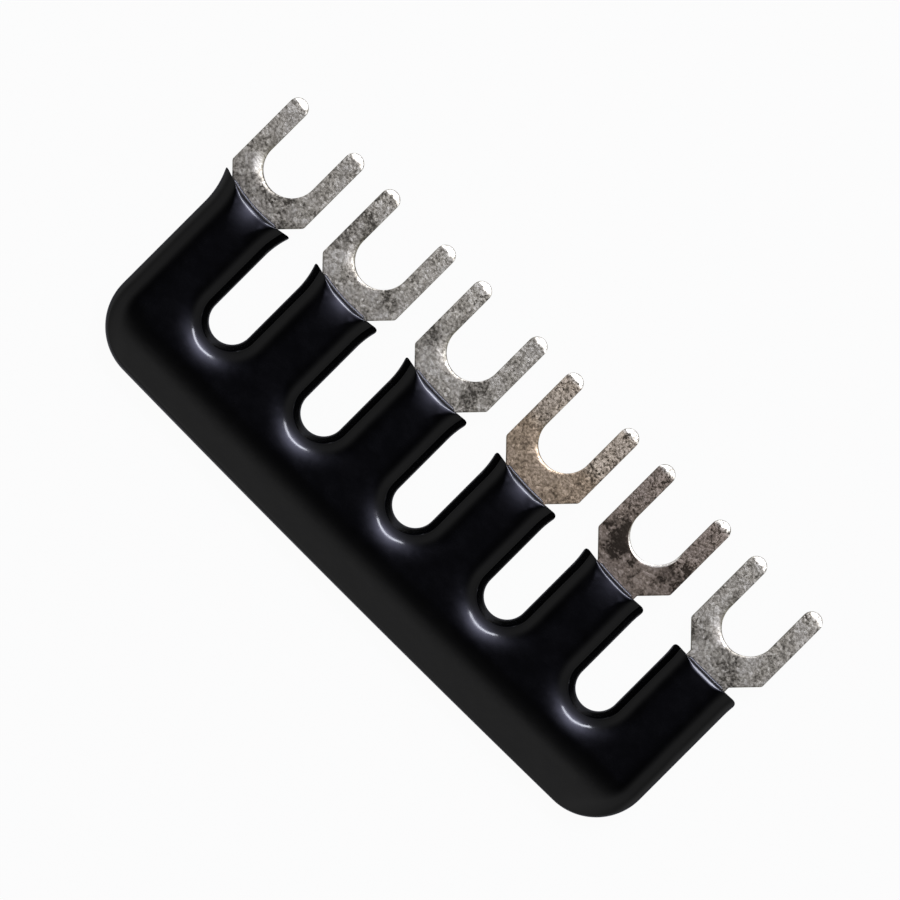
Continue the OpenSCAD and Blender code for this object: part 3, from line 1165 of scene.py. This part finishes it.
def floor_material():
    """Nearly all white glow to the camera, a little in reflections, and a grey that takes the shadow."""
    material, tree = new_material("pale_floor")
    path = tree.add("ShaderNodeLightPath")
    seen = tree.math("MULTIPLY", path.outputs["Is Camera Ray"], CAMERA_GLOW)
    bounced = tree.math("MAXIMUM", path.outputs["Is Glossy Ray"], path.outputs["Is Transmission Ray"])
    mirrored = tree.math("MULTIPLY", bounced, GLOSSY_GLOW)
    share = tree.math("MAXIMUM", seen, mirrored)
    plain = tree.add("ShaderNodeBsdfDiffuse", Color=(FLOOR_GREY, FLOOR_GREY, FLOOR_GREY, 1)).outputs[0]
    white = tree.add("ShaderNodeEmission", Strength=1.0).outputs[0]
    mix = tree.add("ShaderNodeMixShader", i0=share, i1=plain, i2=white).outputs[0]
    tree.add("ShaderNodeOutputMaterial", Surface=mix)
    return material


def make_floor():
    half = FLOOR_SIZE / 2 * MM
    mesh = bpy.data.meshes.new("floor")
    corners = [(-half, -half, 0), (half, -half, 0), (half, half, 0), (-half, half, 0)]
    mesh.from_pydata(corners, [], [(0, 1, 2, 3)])
    mesh.materials.append(floor_material())
    floor = bpy.data.objects.new("floor", mesh)
    bpy.context.collection.objects.link(floor)


def make_key():
    lamp = bpy.data.lights.new("key", "AREA")
    lamp.shape = "RECTANGLE"
    lamp.size, lamp.size_y = KEY_SIZE
    lamp.color = KEY_COLOUR
    lamp.energy = KEY_RADIANCE * math.pi * KEY_SIZE[0] * KEY_SIZE[1]
    key = bpy.data.objects.new("key", lamp)
    key.location = KEY_PLACE
    aim = Vector((0, slot_y * MM, mid_z * MM)) - KEY_PLACE
    key.rotation_euler = aim.to_track_quat("-Z", "Y").to_euler()
    bpy.context.collection.objects.link(key)


def glow(tree, way, place, strength, sharpness):
    """Level of a soft round glow at a place in the sky."""
    near = tree.add("ShaderNodeVectorMath", {"operation": "DOT_PRODUCT"}, i0=way, i1=place)
    drop = tree.math("MULTIPLY", tree.math("SUBTRACT", near.outputs["Value"], 1.0), sharpness)
    return tree.math("MULTIPLY", tree.math("EXPONENT", drop), strength)


def make_world():
    """White to the camera; to the object dark overhead, dim at the sides, brighter low down, with glows."""
    world = bpy.data.worlds.new("studio")
    bpy.context.scene.world = world
    world.use_nodes = True
    tree = NodeTree(world.node_tree)
    way = tree.add("ShaderNodeTexCoord").outputs["Generated"]
    split = tree.add("ShaderNodeSeparateXYZ", Vector=way)
    front = split.outputs["Y"]
    height = split.outputs["Z"]
    side = tree.math("SUBTRACT", WALL_LEVEL, tree.math("MULTIPLY", front, WALL_LEAN))
    walls = tree.math("MULTIPLY", tree.remap(height, *WALL_HEIGHTS, 0.0, 1.0), side)
    walls = tree.math("MULTIPLY", tree.remap(height, *HORIZON_HEIGHTS, HORIZON_SHARE, 1.0), walls)
    low_share = tree.remap(front, *LOW_FRONT, 1.0, LOW_FRONT_SHARE)
    low = tree.math("MULTIPLY", low_share, tree.remap(height, *LOW_HEIGHTS, LOW_LEVEL, 0.0))
    walls = tree.math("ADD", walls, low)
    walls = tree.math("ADD", walls, glow(tree, way, *BACK_GLOW))
    cool = 0.0
    for place, strength, sharpness in COOL_GLOWS:
        cool = tree.math("ADD", glow(tree, way, place, strength, sharpness), cool)
    seen = tree.add("ShaderNodeLightPath").outputs["Is Camera Ray"]
    unseen = tree.math("SUBTRACT", 1.0, seen)
    level = tree.math("MULTIPLY", unseen, tree.math("ADD", walls, ZENITH_LEVEL))
    level = tree.math("ADD", seen, level)
    plain = tree.add("ShaderNodeBackground", Color=(1, 1, 1, 1), Strength=level).outputs[0]
    cool = tree.math("MULTIPLY", unseen, cool)
    tinted = tree.add("ShaderNodeBackground", Color=COOL_COLOUR, Strength=cool).outputs[0]
    both = tree.add("ShaderNodeAddShader", i0=plain, i1=tinted).outputs[0]
    tree.add("ShaderNodeOutputWorld", Surface=both)


def make_camera():
    data = bpy.data.cameras.new("camera")
    data.sensor_width = SENSOR_W
    data.lens = SENSOR_W * CAMERA_HEIGHT / FRAME_W
    data.clip_start = CLIP_START * MM
    data.clip_end = CLIP_END * MM
    camera = bpy.data.objects.new("camera", data)
    camera.location = Vector((*CAMERA_AIM, mid_z + CAMERA_HEIGHT)) * MM
    camera.rotation_euler = (0, 0, math.radians(CAMERA_TURN))
    bpy.context.collection.objects.link(camera)
    bpy.context.scene.camera = camera


bpy.context.scene.view_settings.view_transform = "Standard"
make_camera()
make_world()
make_key()
make_floor()
make_comb(tin_material())
make_coat(vinyl_material())
